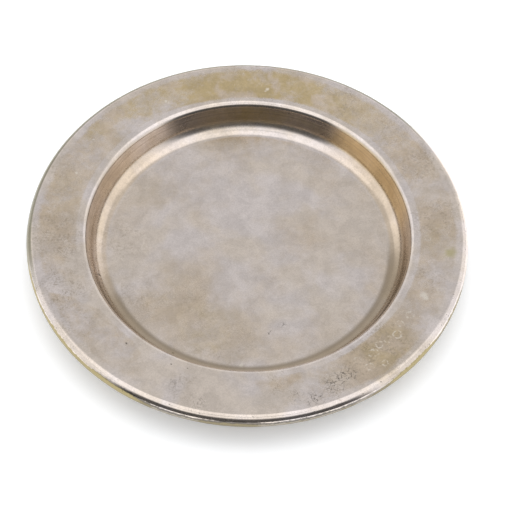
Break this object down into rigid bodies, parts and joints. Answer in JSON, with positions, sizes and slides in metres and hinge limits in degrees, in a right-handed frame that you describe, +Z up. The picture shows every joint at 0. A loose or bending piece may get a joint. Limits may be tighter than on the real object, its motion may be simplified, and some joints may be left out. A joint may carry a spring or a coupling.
{
  "type": "paten plate",
  "caption": "Round footless plate with a flat-floored well, short steep wall, wide slightly raised rim and a rolled edge over a stiffening wire, in worn silver-plated brass.",
  "frame": {"origin": "middle of the underside of the floor, on the surface that the plate stands on", "axes": "+Z up along the plate's axis of revolution; +X points at the butted ends of the edge wire"},
  "size_m": [0.1524, 0.1524, 0.0129],
  "materials": {
    "silver_plate": "worn silver plate over brass, lightly tarnished, bare brass at the edge",
    "brass_wire": "drawn, unplated, dull"
  },
  "bodies": {
    "root": {"dish": "silver_plate", "edge_wire": "brass_wire"}
  },
  "joints": []
}
